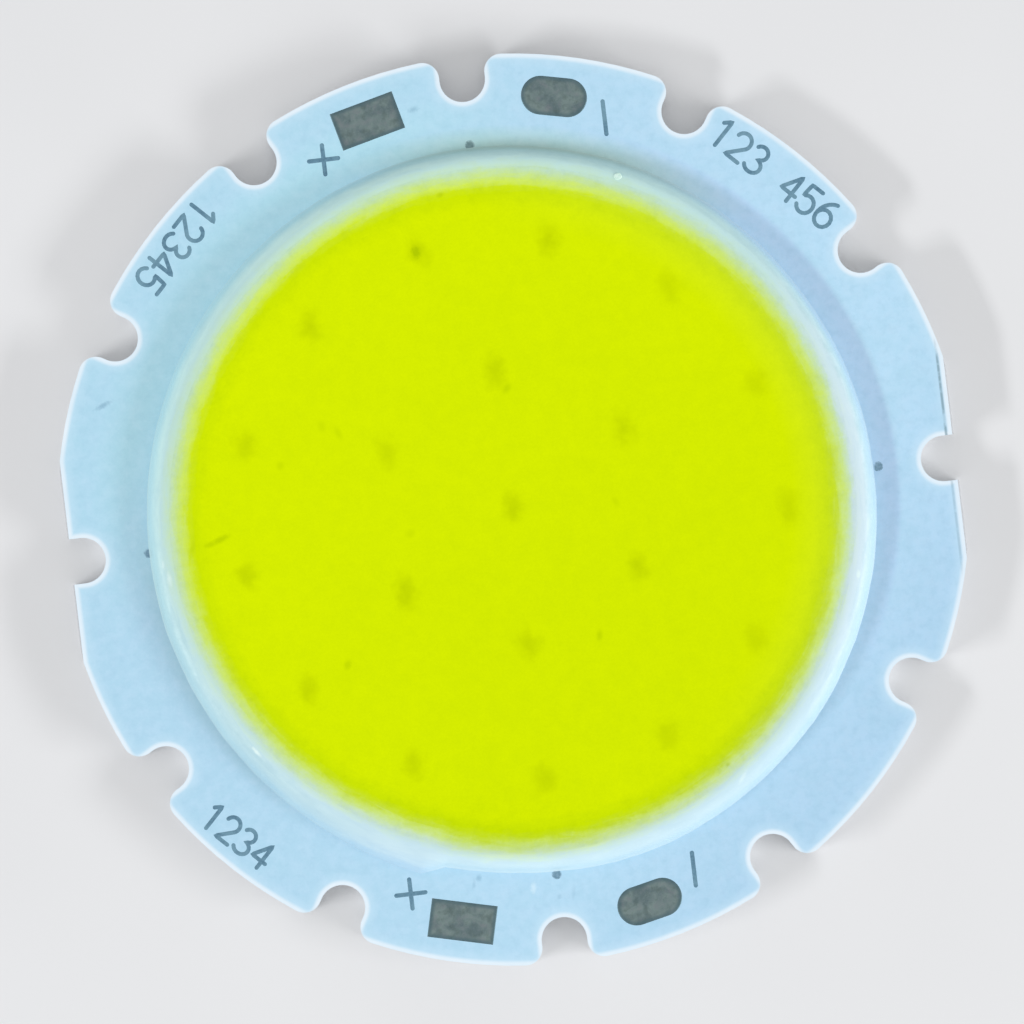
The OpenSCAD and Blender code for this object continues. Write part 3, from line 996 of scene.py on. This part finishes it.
def write_row(name, text, r, angle, up_angle, height, pitch):
    """Plain numbers in a row centred at (r, angle), with their tops towards up_angle."""
    up = polar(1, up_angle)
    right = Vector((up.y, -up.x, 0))
    centre = polar(r, angle)
    parts = ([], [])
    for i, ch in enumerate(text):
        shift = (i - (len(text) - 1) / 2) * pitch
        for line in DIGITS.get(ch, []):
            points = [
                centre + right * (shift + (x - DIGIT_W / 2) * height) + up * ((y - 0.5) * height)
                for x, y in line
            ]
            stroke_mesh(parts, points, DIGIT_STROKE)
    add_piece(name, mesh_of(name, *parts), INK, None)


# Name, numbers, radius and angle of the row's middle, direction of its tops, height, pitch
ROWS = (
    ("ink_row_a", "123 456", 18.66, 45.4, 45, 1.27, 0.96),
    ("ink_row_b", "12345", 18.74, 135.2, 315, 1.24, 0.95),
    ("ink_row_c", "1234", 18.73, 223.0, 45, 1.18, 0.9),
)
for name, text, r, angle, up_angle, height, pitch in ROWS:
    write_row(name, text, r * MM, angle, up_angle, height * MM, pitch * MM)

PLUS_ARMS = ((0.64, 0, 0), (0, 0.64, 0))
MINUS_ARMS = ((0, 0.72, 0),)


def write_sign(name, x, y, arms):
    """A plus or minus at (x, y) in mm, with one stroke for each pair of arms."""
    centre = Vector((x, y, 0)) * MM
    parts = ([], [])
    for arm in arms:
        reach = Vector(arm) * MM
        stroke_mesh(parts, [centre - reach, centre + reach], STROKE)
    add_piece(name, mesh_of(name, *parts), INK, None)


for name, x, y, arms in (
    ("ink_plus", -6.45, 16.21, PLUS_ARMS),
    ("ink_minus", 6.0, 16.59, MINUS_ARMS),
):
    write_sign(f"{name}_1", x, y, arms)
    write_sign(f"{name}_2", x, -y, arms)

# ---------------------------------------------------------------- spilt silicone

NIB_R = 0.15 * MM
NIB_AT_R, NIB_ANGLE = 15.27 * MM, 65.8

# A small bead of it, half sunk in the dam
bm = bmesh.new()
bmesh.ops.create_icosphere(bm, subdivisions=3, radius=NIB_R)
centre = polar(NIB_AT_R, NIB_ANGLE)
base = bead_height(NIB_AT_R) - bead_dip(bead_height(NIB_AT_R), math.radians(NIB_ANGLE))
for v in bm.verts:
    bumpy = 1 + 0.3 * noise.noise(v.co / MM * 7)
    v.co = Vector((v.co.x * bumpy * 1.2, v.co.y * bumpy, v.co.z * 0.25)) + centre
    v.co.z = min(v.co.z + base, DAM_TOP)
nib_mesh = bpy.data.meshes.new("dam_nib")
bm.to_mesh(nib_mesh)
bm.free()
for p in nib_mesh.polygons:
    p.use_smooth = True
add_piece("dam_nib", nib_mesh, NIB, None)

# ---------------------------------------------------------------- CAD nodes that stay

slot_of = {s["node"]: s["material_slot"] for s in frame["record"]["subparts"]}
for name, obj in nodes.items():
    obj.data.materials.clear()
    obj.data.materials.append(DOT if name == "alignment_dots" else BY_SLOT[slot_of[name]])

# ---------------------------------------------------------------- floor, light, camera

FLOOR_HALF = 1.2
# The floor lies a hair above the part's own lowest plane, so that the two don't coincide
FLOOR_Z = 0.01 * MM

floor_mesh = bpy.data.meshes.new("floor")
bm = bmesh.new()
bmesh.ops.create_grid(bm, x_segments=8, y_segments=8, size=FLOOR_HALF)
bm.to_mesh(floor_mesh)
bm.free()
floor = bpy.data.objects.new("floor", floor_mesh)
floor.location.z = FLOOR_Z
bpy.context.collection.objects.link(floor)
pale = Tree("pale_floor")
cloud = pale.range(pale.noise(0.05, 2.0), 0.3, 0.7)
pale.set(Base_Color=pale.mix(cloud, srgb(228, 229, 231), srgb(232, 233, 235)), Roughness=0.8)
floor_mesh.materials.append(pale.mat)

WORLD_LIGHT = 0.66
world = bpy.data.worlds.new("studio")
bpy.context.scene.world = world
world.use_nodes = True
background = world.node_tree.nodes["Background"]
background.inputs["Color"].default_value = (1.0, 1.0, 1.0, 1.0)
background.inputs["Strength"].default_value = WORLD_LIGHT

LAMP_AWAY = 0.5
# Two low soft boxes: name, azimuth, elevation, share of the light, width, height
for name, azimuth, elevation, share, width, height in (
    ("key", 335, 17, 0.6, 0.3, 0.07),
    ("fill", 197, 22.5, 0.44, 0.2, 0.035),
):
    lamp = bpy.data.lights.new(name, "AREA")
    lamp.shape = "RECTANGLE"
    lamp.size, lamp.size_y = width, height
    lamp.energy = share * math.pi**2 * LAMP_AWAY**2
    obj = bpy.data.objects.new(name, lamp)
    bpy.context.collection.objects.link(obj)
    up = math.radians(elevation)
    obj.location = polar(LAMP_AWAY * math.cos(up), azimuth, LAMP_AWAY * math.sin(up))
    obj.rotation_euler = (-obj.location).to_track_quat("-Z", "Y").to_euler()

# The photograph is taken from straight above, and shows FRAME_W of the board's plane
VIEW_TURN = math.radians(-6.78)
VIEW_FROM = Vector((-0.07 * MM, -0.1 * MM, 0.3))
FRAME_W = 44.9 * MM
cam = bpy.data.cameras.new("camera")
cam.sensor_width = 36
cam.lens = cam.sensor_width * (VIEW_FROM.z - MASK_TOP) / FRAME_W
cam.clip_start = 0.01
cam_obj = bpy.data.objects.new("camera", cam)
bpy.context.collection.objects.link(cam_obj)
cam_obj.location = VIEW_FROM
cam_obj.rotation_euler = (0, 0, VIEW_TURN)
bpy.context.scene.camera = cam_obj
bpy.context.scene.view_settings.view_transform = "Standard"
